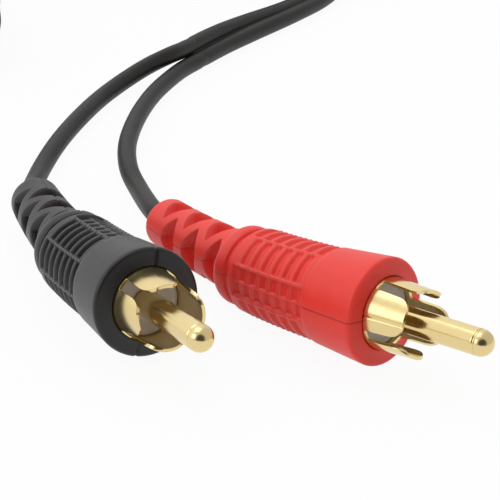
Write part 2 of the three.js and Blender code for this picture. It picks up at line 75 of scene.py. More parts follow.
# Plug frames

def unit(v):
    return v / np.linalg.norm(v)


def smooth(t):
    t = np.clip(t, 0, 1)
    return t * t * (3 - 2 * t)


def between(a, b, t):
    return a + (b - a) * t


# The record's mounts lie on the collars' faces, behind the rim and above the axis
mountPlace = {"behind": 0.5, "above": 5.36}

for mount in frame["record"]["mounts"]:
    name = mount["name"].replace("_plug_face", "")
    along = unit(np.array(mount["axis"], float))
    side = unit(np.cross((0.0, 0.0, 1.0), along))
    up = np.cross(along, side)
    face = np.array(mount["pos_m"], float) / mm
    rim = face + mountPlace["behind"] * along - mountPlace["above"] * up
    plugs[name].update(axes=np.array([along, side, up]), rim=rim)


def onPlug(s, r, degrees):
    angle = np.radians(degrees)
    s, r, angle = np.broadcast_arrays(s, r, angle)
    return np.stack([s, -r * np.cos(angle), r * np.sin(angle)], axis=-1)


relief = {"neckRadius": 4.55, "neck": 1.3, "beadRadius": 5.05, "bead": 2.1, "beadRound": 0.6,
          "radius": 3.85, "rearRadius": 3.22, "end": -41.5, "endRound": 0.8, "hole": 1.45,
          "slots": 6, "slotPitch": 4.8, "slotWidth": 3.1, "slotFloor": 2.2, "slotWall": 0.26,
          "slotSpread": 112.0, "slotPoint": 1.4, "slotRise": 0.3, "slotEase": 0.15}
bendStart = -12.0


# The tail turns and lifts on an arc: a point off the axis by a along n, at arc angle t, goes
# to x = start - (R + a) sin t and, along n, (R + a) cos t - R.
def bent(points, plug):
    total = math.hypot(math.radians(plug["turn"]), math.radians(plug["lift"]))
    radius = (bendStart - relief["end"]) / total
    lean = np.array([-math.radians(plug["turn"]), math.radians(plug["lift"])]) / total
    x, y, z = points[..., 0], points[..., 1], points[..., 2]
    angle = (bendStart - x) / radius
    off = y * lean[0] + z * lean[1]
    level = -y * lean[1] + z * lean[0]
    moved = (radius + off) * np.cos(angle) - radius
    curved = np.stack([bendStart - (radius + off) * np.sin(angle),
                       moved * lean[0] - level * lean[1],
                       moved * lean[1] + level * lean[0]], axis=-1)
    return np.where((x < bendStart)[..., None], curved, points)


def placed(points, plug):
    return plug["rim"] + bent(points, plug) @ plug["axes"]


# Meshes

def gridQuads(rows, cols, closeRows, closeCols, start=0):
    i, j = np.meshgrid(np.arange(rows if closeRows else rows - 1),
                       np.arange(cols if closeCols else cols - 1), indexing="ij")
    i, j = i.ravel(), j.ravel()
    a = i * cols + j
    b = i * cols + (j + 1) % cols
    c = ((i + 1) % rows) * cols + (j + 1) % cols
    d = ((i + 1) % rows) * cols + j
    return np.stack([a, b, c, d], axis=1) + start


# Quads are smooth, and the extra faces, which close the ends, are flat
def makeMesh(name, points, quads, material, layers=None, extra=()):
    mesh = bpy.data.meshes.new(name)
    loops = np.concatenate([np.asarray(quads).ravel(), *[np.asarray(f) for f in extra]])
    sizes = [4] * len(quads) + [len(f) for f in extra]
    starts = np.concatenate([[0], np.cumsum(sizes)[:-1]])
    mesh.vertices.add(len(points))
    mesh.vertices.foreach_set("co", (points * mm).astype(np.float32).ravel())
    mesh.loops.add(len(loops))
    mesh.loops.foreach_set("vertex_index", loops.astype(np.int32))
    mesh.polygons.add(len(sizes))
    mesh.polygons.foreach_set("loop_start", starts.astype(np.int32))
    mesh.update(calc_edges=True)
    mesh.polygons.foreach_set("use_smooth", np.array(sizes) == 4)
    for key, values in (layers or {}).items():
        layer = mesh.attributes.new(key, "FLOAT", "POINT")
        layer.data.foreach_set("value", values.astype(np.float32).ravel())
    piece = bpy.data.objects.new(name, mesh)
    bpy.context.scene.collection.objects.link(piece)
    mesh.materials.append(materials[material])
    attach(piece, "root")
    turnOutwards(mesh)
    return piece


def turnOutwards(mesh):
    work = bmesh.new()
    work.from_mesh(mesh)
    bmesh.ops.recalc_face_normals(work, faces=work.faces)
    work.to_mesh(mesh)
    work.free()


# Materials

def linear(code, share=1.0):
    parts = [int(code[i:i + 2], 16) / 255 for i in (0, 2, 4)]
    parts = [c / 12.92 if c <= 0.04045 else ((c + 0.055) / 1.055) ** 2.4 for c in parts]
    return (*[min(1, c * share) for c in parts], 1.0)


# A value that is another node's output is linked, and any other is set
def addNode(tree, kind, values=None, **settings):
    node = tree.nodes.new(kind)
    for key, value in settings.items():
        setattr(node, key, value)
    for key, value in (values or {}).items():
        if isinstance(value, bpy.types.NodeSocket):
            tree.links.new(value, node.inputs[key])
        else:
            node.inputs[key].default_value = value
    return node


def newMaterial(name):
    material = bpy.data.materials.new(name)
    material.use_nodes = True
    material.node_tree.nodes.clear()
    return material, material.node_tree


# The noises' scales are cells in a metre: 420 gives patches of 2.4 mm, which colour and sheen
# follow, and 7000 a grain of 0.15 mm, which is bumped.

# The shader, with its roughness between two values and its bump's height in millimetres
def finished(tree, colour, sheen, rough, height, strength, depth, values):
    satin = addNode(tree, "ShaderNodeMapRange", {"Value": sheen, "To Min": rough[0],
                                                 "To Max": rough[1]})
    bump = addNode(tree, "ShaderNodeBump", {"Height": height, "Strength": strength,
                                            "Distance": depth * mm})
    shader = addNode(tree, "ShaderNodeBsdfPrincipled", {
        **values, "Base Color": colour, "Roughness": satin.outputs["Result"],
        "Normal": bump.outputs["Normal"]})
    addNode(tree, "ShaderNodeOutputMaterial", {"Surface": shader.outputs["BSDF"]})


# Soft PVC, injection moulded in a spark-eroded tool: satin, with a fine even grain and paler
# edges where it is handled. The parting lines, where the tool's halves met, are darkened with
# painted shade.
def mouldedPvc(name, code, edge, rough, gloss):
    material, tree = newMaterial(name)
    place = addNode(tree, "ShaderNodeTexCoord").outputs["Object"]
    cloud = addNode(tree, "ShaderNodeTexNoise", {"Vector": place, "Scale": 420.0, "Detail": 4.0,
                                                 "Roughness": 0.6}).outputs["Fac"]
    grain = addNode(tree, "ShaderNodeTexNoise", {"Vector": place, "Scale": 7000.0,
                                                 "Detail": 2.0}).outputs["Fac"]
    wear = addNode(tree, "ShaderNodeAttribute", attribute_name="wear").outputs["Fac"]
    worn = addNode(tree, "ShaderNodeMath", {0: wear, 1: 0.55}, operation="MULTIPLY")
    crease = addNode(tree, "ShaderNodeAttribute", attribute_name="crease").outputs["Fac"]
    body = addNode(tree, "ShaderNodeMix", {0: cloud, 6: linear(code, 0.9), 7: linear(code, 1.1)},
                   data_type="RGBA")
    edges = addNode(tree, "ShaderNodeMix", {0: worn.outputs["Value"], 6: body.outputs[2],
                                            7: linear(edge)}, data_type="RGBA")
    # Painted shade: the colour darkens to 0.45 of itself along the parting lines' furrows
    lines = addNode(tree, "ShaderNodeMix", {0: crease, 6: edges.outputs[2],
                                            7: linear(code, 0.45)}, data_type="RGBA")
    finished(tree, lines.outputs[2], cloud, (rough - 0.06, rough + 0.08), grain, 0.35, 0.02,
             {"IOR": 1.5, "Specular IOR Level": gloss, "Subsurface Weight": 0.12,
              "Subsurface Scale": 1.2 * mm})
    return material


# PVC jacket, extruded over the wires: satin, with faint draw lines along it
def extrudedPvc(name, code, rough):
    material, tree = newMaterial(name)
    place = addNode(tree, "ShaderNodeTexCoord").outputs["Object"]
    cloud = addNode(tree, "ShaderNodeTexNoise", {"Vector": place, "Scale": 260.0,
                                                 "Detail": 3.0}).outputs["Fac"]
    grain = addNode(tree, "ShaderNodeTexNoise", {"Vector": place, "Scale": 5200.0,
                                                 "Detail": 2.0}).outputs["Fac"]
    around = addNode(tree, "ShaderNodeAttribute", attribute_name="around").outputs["Fac"]
    along = addNode(tree, "ShaderNodeAttribute", attribute_name="along").outputs["Fac"]
    slow = addNode(tree, "ShaderNodeMath", {0: along, 1: 0.04}, operation="MULTIPLY")
    spot = addNode(tree, "ShaderNodeCombineXYZ", {"X": around, "Y": slow.outputs["Value"]})
    lines = addNode(tree, "ShaderNodeTexNoise", {"Vector": spot.outputs["Vector"], "Scale": 4.0,
                                                 "Detail": 3.0}).outputs["Fac"]
    height = addNode(tree, "ShaderNodeMath", {0: lines, 1: grain}, operation="ADD")
    body = addNode(tree, "ShaderNodeMix", {0: cloud, 6: linear(code, 0.86), 7: linear(code, 1.14)},
                   data_type="RGBA")
    finished(tree, body.outputs[2], lines, (rough - 0.07, rough + 0.07), height.outputs["Value"],
             0.3, 0.02, {"IOR": 1.5, "Specular IOR Level": 0.3})
    return material


# Plated or drawn metal: bright, with the slight waviness of turning or rolling and some haze
def brightMetal(name, code, rough):
    material, tree = newMaterial(name)
    place = addNode(tree, "ShaderNodeTexCoord").outputs["Object"]
    haze = addNode(tree, "ShaderNodeTexNoise", {"Vector": place, "Scale": 1400.0,
                                                "Detail": 4.0}).outputs["Fac"]
    wave = addNode(tree, "ShaderNodeTexNoise", {"Vector": place, "Scale": 350.0,
                                                "Detail": 1.5}).outputs["Fac"]
    body = addNode(tree, "ShaderNodeMix", {0: haze, 6: linear(code, 0.95), 7: linear(code, 1.04)},
                   data_type="RGBA")
    finished(tree, body.outputs[2], haze, (rough - 0.03, rough + 0.05), wave, 0.12, 0.06,
             {"Metallic": 1.0})
    return material


# Rigid thermoplastic, injection moulded: semi-gloss and a little cloudy
def rigidPlastic(name, code, rough):
    material, tree = newMaterial(name)
    place = addNode(tree, "ShaderNodeTexCoord").outputs["Object"]
    cloud = addNode(tree, "ShaderNodeTexNoise", {"Vector": place, "Scale": 500.0,
                                                 "Detail": 3.0}).outputs["Fac"]
    grain = addNode(tree, "ShaderNodeTexNoise", {"Vector": place, "Scale": 4000.0,
                                                 "Detail": 2.0}).outputs["Fac"]
    body = addNode(tree, "ShaderNodeMix", {0: cloud, 6: linear(code, 0.93), 7: linear(code, 1.07)},
                   data_type="RGBA")
    finished(tree, body.outputs[2], cloud, (rough - 0.05, rough + 0.08), grain, 0.2, 0.02,
             {"IOR": 1.5, "Subsurface Weight": 0.12, "Subsurface Scale": 0.8 * mm})
    return material


materials = {
    "black": mouldedPvc("black_moulded_pvc", "171516", "4e4c4d", 0.38, 0.48),
    "red": mouldedPvc("red_moulded_pvc", "f0352a", "ea564c", 0.45, 0.5),
    "jacket": extrudedPvc("extruded_pvc_jacket", "1a1715", 0.48),
    "tie": extrudedPvc("pvc_coated_wire_tie", "252425", 0.38),
    "gold": brightMetal("gold_plated_brass", "e6d097", 0.17),
    "grey": rigidPlastic("moulded_insulator_plastic", "e6e4ec", 0.32),
    "white": rigidPlastic("moulded_polyethylene", "dedbd2", 0.45),
    "copper": brightMetal("drawn_bare_copper", "c98a5c", 0.3),
}
print("materials made")


# Camera

camera = {"eye": (1.585, -241.279, 112.5), "lens": 158.4, "sensor": 36.0, "tilt": 67.0,
          "roll": 4.23, "clip": (0.01, 20.0)}
lens = bpy.data.cameras.new("camera")
lens.lens = camera["lens"]
lens.sensor_width = camera["sensor"]
lens.clip_start, lens.clip_end = camera["clip"]
viewer = bpy.data.objects.new("camera", lens)
viewer.matrix_world = (Matrix.Translation(Vector(camera["eye"]) * mm)
                       @ Matrix.Rotation(math.radians(camera["tilt"]), 4, "X")
                       @ Matrix.Rotation(math.radians(camera["roll"]), 4, "Z"))
bpy.context.scene.collection.objects.link(viewer)
bpy.context.scene.camera = viewer


# Cords

# merge: how far before the join, and how far apart from the middle, the legs' last points lie.
# The legs run on inside the twin lead, and both thin out there, so that no end shows.
lead = {"radius": 1.35, "web": 0.9, "flat": 1.42, "sides": 28, "lobeSides": 25, "points": 60,
        "exit": 2.5, "merge": ((4.0, 1.45), (1.5, 1.36), (0.0, 1.35), (-3.0, 1.35)),
        "runOn": 3.0, "thinning": 0.1, "lines": 8}
coil = {"centre": (-19.41494, 177.62083), "radii": (34.7, 29.3),
        "heights": (2.35, 5.05, 7.75, 10.45), "last": 7.0, "base": 1.0, "top": 9.1, "bore": 26.6,
        "radius": 37.4, "step": 5.0, "spacing": 0.4}

# Routes of the leads, in the row frame, as the CAD has them
shift = np.array([0.28506, 1.62083, 0.0])
nearJoin = {"at": (-10.6, 94.5), "heading": 64.6, "roll": 45}
farJoin = {"at": (-59.8, 191.0), "heading": 66, "roll": 0}
rollOut = 44.0
routes = {
    "near_black": [(-28.5, 32.4, 2.6), (-28.4, 42.7, 1.42), (-27.6, 50.6, 1.42),
                   (-26.6, 57.3, 1.42), (-25.1, 65.0, 1.42), (-23.0, 73.6, 1.42),
                   (-20.0, 80.9, 2.0), (-16.7, 86.7, 2.8)],
    "near_red": [(-14.6, 37.5, 1.42), (-16.3, 43.8, 1.42), (-17.3, 51.5, 1.42),
                 (-17.4, 58.6, 1.42), (-16.6, 68.7, 1.42), (-15.1, 77.8, 1.42),
                 (-12.9, 86.0, 1.42)],
    "far_red": [(-65.2, 147.6, 2.0), (-66.2, 156.0, 1.42), (-67.0, 165.0, 1.42),
                (-67.0, 175.0, 1.42), (-65.7, 184.0, 1.42)],
    "far_black": [(-52.6, 137.2, 2.2), (-55.2, 144.0, 1.42), (-59.0, 152.0, 1.42),
                  (-60.6, 161.0, 1.42), (-61.3, 171.0, 1.42), (-61.2, 180.0, 1.42)],
}
joins = {"near_black": (nearJoin, 1), "near_red": (nearJoin, -1),
         "far_red": (farJoin, 1), "far_black": (farJoin, -1)}
nearTwin = [(-6.2, 104.2, 1.42), (-1.0, 114.3, 1.42), (4.8, 125.1, 1.42), (10.2, 136.6, 1.42),
            (14.0, 150.0, 1.9)]
farTwin = [(-45.6, 207.3, 4.7), (-50.2, 203.8, 3.0), (-56.2, 197.6, 1.8)]


def distances(path):
    return np.concatenate([[0], np.cumsum(np.linalg.norm(np.diff(path, axis=0), axis=1))])


# Centripetal Catmull-Rom: on each stretch a cubic whose knots are apart by the square root
# of the distance between points.
def smoothPath(points, count):
    p = np.asarray(points, float)
    p = np.vstack([2 * p[0] - p[1], p, 2 * p[-1] - p[-2]])
    fine = []
    for i in range(1, len(p) - 2):
        a, b, c, d = p[i - 1:i + 3]
        t1, t2, t3 = [max(np.linalg.norm(v), 1e-6) ** 0.5 for v in (b - a, c - b, d - c)]
        m1 = ((b - a) / t1 - (c - a) / (t1 + t2) + (c - b) / t2) * t2
        m2 = ((c - b) / t2 - (d - b) / (t2 + t3) + (d - c) / t3) * t2
        u = np.linspace(0, 1, 60, endpoint=False)[:, None]
        fine.append(b + m1 * u + (3 * (c - b) - 2 * m1 - m2) * u ** 2
                    + (2 * (b - c) + m1 + m2) * u ** 3)
    fine = np.vstack([*fine, p[-2]])
    reach = distances(fine)
    at = np.linspace(0, reach[-1], count)
    return np.stack([np.interp(at, reach, fine[:, k]) for k in range(3)], axis=1)


def axisPoint(plug, s):
    return placed(np.array([s, 0.0, 0.0]), plug)


def joinPoint(join):
    return np.array([*join["at"], lead["flat"]]) + shift


def lobePoint(join, side, back, across):
    angle = math.radians(join["heading"])
    ahead = np.array([math.cos(angle), math.sin(angle), 0.0])
    left = np.array([-ahead[1], ahead[0], 0.0])
    roll = math.radians(join["roll"])
    rise = np.array([0.0, 0.0, (1 + side) * across * math.sin(roll)])
    return joinPoint(join) + rise + left * side * across * math.cos(roll) - ahead * back


# A section swept along a path. The section's first axis is level and its second points up
# from the path, and both are turned by the roll there.
def sweep(path, section, roll, swell):
    ahead = np.gradient(path, axis=0)
    ahead /= np.linalg.norm(ahead, axis=1)[:, None]
    across = np.cross((0.0, 0.0, 1.0), ahead)
    across /= np.linalg.norm(across, axis=1)[:, None]
    over = np.cross(ahead, across)
    roll = np.broadcast_to(roll, len(path))[:, None]
    swell = swell[:, None]
    u = (section[None, :, 0] * np.cos(roll) - section[None, :, 1] * np.sin(roll)) * swell
    v = (section[None, :, 0] * np.sin(roll) + section[None, :, 1] * np.cos(roll)) * swell
    return path[:, None] + across[:, None] * u[..., None] + over[:, None] * v[..., None]


def cordPiece(name, path, section, nodes, roll, swell):
    points = sweep(path, section, roll, swell)
    rings, count = points.shape[:2]
    around = np.tile(np.arange(count) / count * lead["lines"], (rings, 1))
    along = np.repeat(distances(path)[:, None], count, axis=1)
    ends = [np.arange(count)[::-1], np.arange(count) + (rings - 1) * count]
    piece = makeMesh(name, points.reshape(-1, 3), gridQuads(rings, count, False, True), "jacket",
                     {"around": around, "along": along}, ends)
    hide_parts(*nodes)
    return piece


turns = np.radians(np.linspace(0, 360, lead["sides"], endpoint=False))
roundSection = lead["radius"] * np.stack([np.cos(turns), np.sin(turns)], axis=1)


# Two round lobes side by side, and a web that fills the notch between them
def twinSection():
    edge = math.asin(lead["web"] / 2 / lead["radius"])
    a = np.linspace(-math.pi + edge, math.pi - edge, lead["lobeSides"])
    right = np.stack([lead["radius"] * (1 + np.cos(a)), lead["radius"] * np.sin(a)], axis=1)
    return np.vstack([right, [[0, lead["web"] / 2]], -right, [[0, -lead["web"] / 2]]])


leadPaths = {}
for name, plug in plugs.items():
    join, side = joins[name]
    root = [axisPoint(plug, relief["end"]), axisPoint(plug, relief["end"] - lead["exit"])]
    route = [np.array(p) + shift for p in routes[name]]
    merge = [lobePoint(join, side, back, across) for back, across in lead["merge"]]
    leadPaths[name] = smoothPath([*root, *route, *merge], lead["points"])

# Winding of the coil, as [angle, radius, height] with smooth changes between the turns:
# outer and inner turn of the first layer, inner and outer of the second, inner and outer of
# the third, whose last change passes over in a low hump.
outer, inner = coil["radii"]
low, middle, high, hump = coil["heights"]
winding = [(0, outer, low), (310, outer, low), (350, inner, low), (630, inner, low),
           (670, inner, middle), (945, inner, middle), (990, outer, middle), (1284, outer, middle),
           (1320, outer, high), (1370, inner, high), (1645, inner, high), (1680, inner, hump),
           (1730, outer, hump), (1770, outer, high), (1880, outer, high),
           (1900, outer, coil["last"])]


def windingPath():
    knots = np.array(winding, float)
    angles = np.arange(0, knots[-1, 0] + 0.1, coil["step"])
    spot = np.clip(np.searchsorted(knots[:, 0], angles, side="right") - 1, 0, len(knots) - 2)
    t = smooth((angles - knots[spot, 0]) / (knots[spot + 1, 0] - knots[spot, 0]))
    r = between(knots[spot, 1], knots[spot + 1, 1], t)
    z = between(knots[spot, 2], knots[spot + 1, 2], t)
    a = np.radians(angles)
    x, y = coil["centre"]
    return np.stack([x + r * np.cos(a), y + r * np.sin(a), z], axis=1)


wound = windingPath()
entry = smoothPath([joinPoint(nearJoin), *[np.array(p) + shift for p in nearTwin], wound[0],
                    wound[2]], 60)
leave = smoothPath([wound[-3], wound[-1], *[np.array(p) + shift for p in farTwin],
                    joinPoint(farJoin)], 40)
into = int(np.argmin(np.linalg.norm(entry - wound[0], axis=1)))
onward = int(np.argmin(np.linalg.norm(leave - wound[-1], axis=1))) + 1
twinPath = np.vstack([entry[:into], wound, leave[onward:]])
twinPath = twinPath[np.append(True, np.diff(distances(twinPath)) > coil["spacing"])]
gone = distances(twinPath)
twinRoll = math.radians(nearJoin["roll"]) * (1 - smooth(gone / rollOut))
twinPath[:, 2] += lead["radius"] * np.sin(twinRoll)

for name, path in leadPaths.items():
    left = distances(path)[-1] * (1 - np.linspace(0, 1, len(path)))
    swell = 1 - lead["thinning"] * smooth((lead["runOn"] - left) / lead["runOn"])
    cordPiece(name + "_lead_jacket", path, roundSection, [name + "_lead"], 0.0,
                                 swell)
fromEnd = np.minimum(gone, gone[-1] - gone)
twinSwell = 1 - lead["thinning"] * (1 - smooth(fromEnd / lead["runOn"]))
twinPiece = cordPiece("twin_lead_jacket", twinPath, twinSection(),
                      ["near_twin_lead", "far_twin_lead", "twin_lead_coil"], twinRoll, twinSwell)
print("cords made:", {n: round(float(distances(p)[-1]), 1) for n, p in leadPaths.items()},
      "twin", round(float(distances(twinPath)[-1]), 1))


# Boots

collar = {"face": -0.5, "radius": 6.56, "rearRadius": 5.95, "end": -8.3, "rimRound": 0.5,
          "lipRound": 0.15, "crown": 0.25, "seat": 4.44, "seatEnd": -7.0,
          "edge": ((0.1, 0.04), (0.2, 0.12), (0.28, 0.2))}
grip = {"radius": 5.75, "rearRadius": 5.36, "end": -20.8, "panels": 8, "pitch": 1.72,
        "ridge": 3.2, "raise": 0.1, "tooth": 0.4, "fade": 2.6, "margin": 0.95, "softAngle": 1.5,
        "recess": 0.32, "frame": 0.45, "land": 3.0, "rowDepth": 0.32, "rowWidth": 0.95,
        "rowSoft": 0.25, "rowEase": 0.6, "edge": ((0.05, 0.06), (0.0, 0.2))}
bore = {"shoulder": -12.9, "rear": -19.3, "rearRadius": 2.7}
# The last pair gives the strength of the painted shade along the parting line's furrow, on the
# collar and elsewhere
skin = {"wearHeight": 0.09, "wearReach": 2, "lineShare": 0.8, "lineTone": (1.0, 0.4)}
rowCounts = {"lip": 4, "face": 6, "rim": 9, "collar": 14, "grip": 108, "neck": 5, "bead": 16,
             "relief": 150, "end": 8, "around": 288}


# The skin's profile from the collar's lip back and then up the bore, as s, radius and zone:
# 1 the collar, 2 plain bands, 3 the grip, 4 the relief, 5 its rounded end, 0 the bore
def bootRows(fine):
    c, g, f = collar, grip, relief
    rows = []

    def count(part):
        return max(2, int(round(rowCounts[part] * fine)))

    def add(s, r, zone):
        rows.extend([(a, b, zone) for a, b in zip(np.atleast_1d(s), np.atleast_1d(r))])

    t = np.linspace(0, np.pi / 2, count("lip") + 1)
    add(c["face"] + c["crown"] - c["lipRound"] + c["lipRound"] * np.sin(t),
        c["seat"] + c["lipRound"] - c["lipRound"] * np.cos(t), 1)
    x = np.linspace(0, 1, count("face") + 1)[1:]
    add(c["face"] + c["crown"] * (1 - x) ** 1.5,
        between(c["seat"] + c["lipRound"], c["radius"] - c["rimRound"], x), 1)
    t = np.linspace(0, np.pi / 2, count("rim") + 1)[1:]
    add(c["face"] - c["rimRound"] + c["rimRound"] * np.cos(t),
        c["radius"] - c["rimRound"] + c["rimRound"] * np.sin(t), 1)
    t = np.linspace(0, 1, count("collar") + 1)[1:]
    add(between(c["face"] - c["rimRound"], c["end"], t),
        between(c["radius"], c["rearRadius"], t), 1)
    for back, drop in c["edge"]:
        add(c["end"] - back, c["rearRadius"] - drop, 2)
    s = np.linspace(c["end"] - 0.3, g["end"] + 0.12, count("grip"))
    t = (s - c["end"]) / (g["end"] - c["end"])
    add(s, between(g["radius"], g["rearRadius"], t), 3)
    for ahead, drop in g["edge"]:
        add(g["end"] + ahead, g["rearRadius"] - drop, 2)
    neck = g["end"] - f["neck"]
    start = neck - f["bead"]
    s = np.linspace(g["end"] - 0.02, neck, count("neck"))
    add(s, np.full(len(s), f["neckRadius"]), 2)
    t = np.linspace(0, np.pi, count("bead") + 1)[1:-1]
    foot = np.where(t < np.pi / 2, f["neckRadius"], f["radius"])
    add(neck - f["bead"] / 2 * (1 - np.cos(t)),
        between(foot, f["beadRadius"], np.sin(t) ** f["beadRound"]), 2)
    s = np.linspace(start, f["end"] + f["endRound"], count("relief"))
    r = between(f["radius"], f["rearRadius"], (s - start) / (f["end"] - start))
    add(s, r, 4)
    last = r[-1]
    t = np.linspace(0, np.pi / 2, count("end") + 1)[1:]
    add(f["end"] + f["endRound"] * (1 - np.sin(t)), last - f["endRound"] * (1 - np.cos(t)), 5)
    add([f["end"], f["end"]], [between(last - f["endRound"], f["hole"], 0.5), f["hole"] + 0.1], 5)
    add([f["end"] + 0.1, -30.0, bore["rear"]], [f["hole"]] * 3, 0)
    add([bore["rear"], bore["shoulder"], c["seatEnd"]],
        [bore["rearRadius"], c["seat"], c["seat"]], 0)
    return np.array(rows).T


# Depth cut from the grip at s and pattern angle a. A groove's section is a flat floor with
# soft walls: deep * smooth((halfWidth - |s - middle|) / soft), and the same across a panel.
# The two panels on the parting line are sunk and have a short row on each side of it.
def gripCut(s, a, grooves):
    g = grip
    pitch = 360 / g["panels"]
    panel = np.round(a / pitch).astype(int) % g["panels"]
    off = a - np.round(a / pitch) * pitch
    half = (pitch - g["ridge"]) / 2
    parting = (panel * pitch) % 180 == 0
    first = collar["end"] - g["margin"]

    def rowCut(stagger, inside, width, soft):
        k = np.round((first - stagger * g["pitch"] - s) / g["pitch"])
        middle = first - stagger * g["pitch"] - k * g["pitch"]
        whole = (k >= 0) & (middle - g["margin"] > g["end"])
        wall = smooth((width / 2 + soft / 2 - np.abs(s - middle)) / soft)
        return np.where(whole, wall, 0) * smooth(inside / g["softAngle"])

    deep, width, soft = grooves
    plain = deep * rowCut((panel % 2) / 2, half - np.abs(off), width, soft)
    front = collar["end"] - g["frame"]
    back = g["end"] + g["frame"]
    inner = smooth((front - s) / g["rowSoft"]) * smooth((s - back) / g["rowSoft"])
    sunk = g["recess"] * inner * smooth((half - np.abs(off)) / g["softAngle"])
    row = half - g["land"]
    centre = (row + g["land"]) / 2
    inside = row / 2 - np.abs(np.abs(off) - centre) + g["rowEase"]
    rows = g["rowDepth"] * rowCut(np.where(off > 0, 0.5, 0.0), inside, g["rowWidth"], g["rowSoft"])
    # The ridges between panels stand a little proud, with a tooth at each groove
    tooth = 1 - g["tooth"] + g["tooth"] * np.cos(2 * np.pi * (first - s) / (g["pitch"] / 2))
    ridge = g["raise"] * inner * smooth(1 - (pitch / 2 - np.abs(off)) / g["fade"]) * tooth
    return np.where(parting, sunk + rows, plain) - ridge


# Depth cut from the relief. A slot's half width is slotWidth / 2 * (1 - t ** slotPoint),
# widest at its middle, t = 0, and it runs out to a point at t = 1, with steep walls and a
# floor that rises to its ends. Slots alternate by a quarter turn.
def slotCut(s, a, surface):
    f = relief
    depth = np.zeros_like(s)
    start = grip["end"] - f["neck"] - f["bead"]
    for i in range(f["slots"]):
        middle = start - f["slotWidth"] / 2 - i * f["slotPitch"] / 2
        off = (a - (i % 2) * 90 + 90) % 180 - 90
        t = np.clip(np.abs(off) / (f["slotSpread"] / 2), 0, 1)
        half = f["slotWidth"] / 2 * (1 - t ** f["slotPoint"])
        inside = smooth((half - np.abs(s - middle)) / f["slotWall"] + f["slotEase"])
        most = (surface - f["slotFloor"]) * (1 - t) ** f["slotRise"]
        depth = np.maximum(depth, most * np.where(t < 1, inside, 0))
    return depth


# Mean of the field over a square of 2 * reach + 1 points
def blurred(field, reach):
    total = np.zeros_like(field)
    for i in range(-reach, reach + 1):
        for j in range(-reach, reach + 1):
            total += np.roll(np.roll(field, i, axis=0), j, axis=1)
    return total / (2 * reach + 1) ** 2


# The profile turned about the axis, less the cuts and a furrow on the parting line, whose
# depth is deep * (1 - off / half wide), and then bent with the tail
def bootPiece(name, plug):
    s, r, zone = bootRows(plug["fine"])
    columns = int(rowCounts["around"] * plug["fine"])
    a = np.arange(columns) * 360 / columns
    s, a = np.meshgrid(s, a, indexing="ij")
    r = np.repeat(r[:, None], columns, axis=1)
    zone = np.repeat(zone[:, None], columns, axis=1)
    surface = r.copy()
    r = np.where(zone == 3, r - gripCut(s, a, plug["grooves"]), r)
    r = np.where(zone == 4, r - slotCut(s, a, surface), r)
    off = np.abs((a + 90) % 180 - 90) * np.pi / 180 * surface
    deep, halfWide = plug["line"]
    line = np.clip(1 - off / halfWide, 0, 1)
    furrow = deep * line
    r = np.where((zone == 1) & (s < collar["face"] - 0.2), r - furrow, r)
    s = np.where((zone == 1) & (s > collar["face"] - 0.3), s - furrow, s)
    uncut = (zone == 5) | (zone == 2) | ((zone == 4) & (r > surface - 0.1))
    r = np.where(uncut, r - furrow * skin["lineShare"], r)
    wear = np.clip((r - blurred(r, skin["wearReach"])) / skin["wearHeight"], 0, 1) * (zone > 1)
    # Painted shade: the colour is darkened along the parting line's furrow, fully on the collar,
    # not in the grip, and lightly elsewhere
    onCollar, elsewhere = skin["lineTone"]
    crease = line * np.select([zone == 1, zone == 3, zone > 0], [onCollar, 0.0, elsewhere], 0.0)
    points = placed(onPlug(s, r, a + plug["parting"]), plug)
    piece = makeMesh(name + "_boot_skin", points.reshape(-1, 3), gridQuads(*s.shape, True, True),
                     plug["colour"], {"wear": wear, "crease": crease})
    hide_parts(name + "_boot")
    return piece


# Metal parts and insulator

# groove: how far behind the ball's start and how deep. petalSteps: columns on a petal, fine
# and coarse. tubeRows: rows behind the petals. tabRows: rows left open along the tab's sides.
metal = {"pin": 1.6, "pinTip": 15.0, "shoulder": -4.2, "tail": 1.0, "tailEnd": -9.0,
         "groove": ((0.0, 0.06), (0.1, 0.14), (0.2, 0.06), (0.28, 0.0)), "pinSides": 64,
         "shell": 4.4, "wall": 0.4, "edge": 0.04, "skirt": -6.6, "tabEnd": -10.6,
         "tabSpread": 44.0, "root": -0.1, "tip": 6.4, "petalSpread": 70.0, "corner": 1.8,
         "seam": 0.12, "seamHalf": 0.16, "petalSteps": (40, 14), "gapSteps": 6,
         "tubeRows": 8, "tabRows": 4, "petalRows": 18}
# rings: height over the face and radius, outwards from the flat middle to the disc's edge
disc = {"face": -0.8, "thickness": 3.2, "hub": 2.7, "hole": 1.6, "bevel": (0.1, 0.12),
        "rings": ((0.0, 2.2), (-0.04, 2.3), (-0.04, 3.3), (0.0, 3.38), (0.072, 3.45),
                  (0.12, 3.55), (0.12, 3.82), (0.02, 3.95), (-0.1, 3.98)),
        "clear": 0.05, "step": 0.1, "sides": 72}


# A profile of [s, r] points turned about the plug's axis, closed on itself or with flat ends
def turnedPiece(name, plug, profile, columns, material, closed=False):
    profile = np.array(profile, float)
    a = np.arange(columns) * 360 / columns
    s, angle = np.meshgrid(profile[:, 0], a, indexing="ij")
    r = np.repeat(profile[:, 1][:, None], columns, axis=1)
    points = placed(onPlug(s, r, angle), plug)
    rows = len(profile)
    ends = [] if closed else [np.arange(columns), np.arange(columns)[::-1] + (rows - 1) * columns]
    return makeMesh(name, points.reshape(-1, 3), gridQuads(rows, columns, closed, True), material,
                    None, ends)


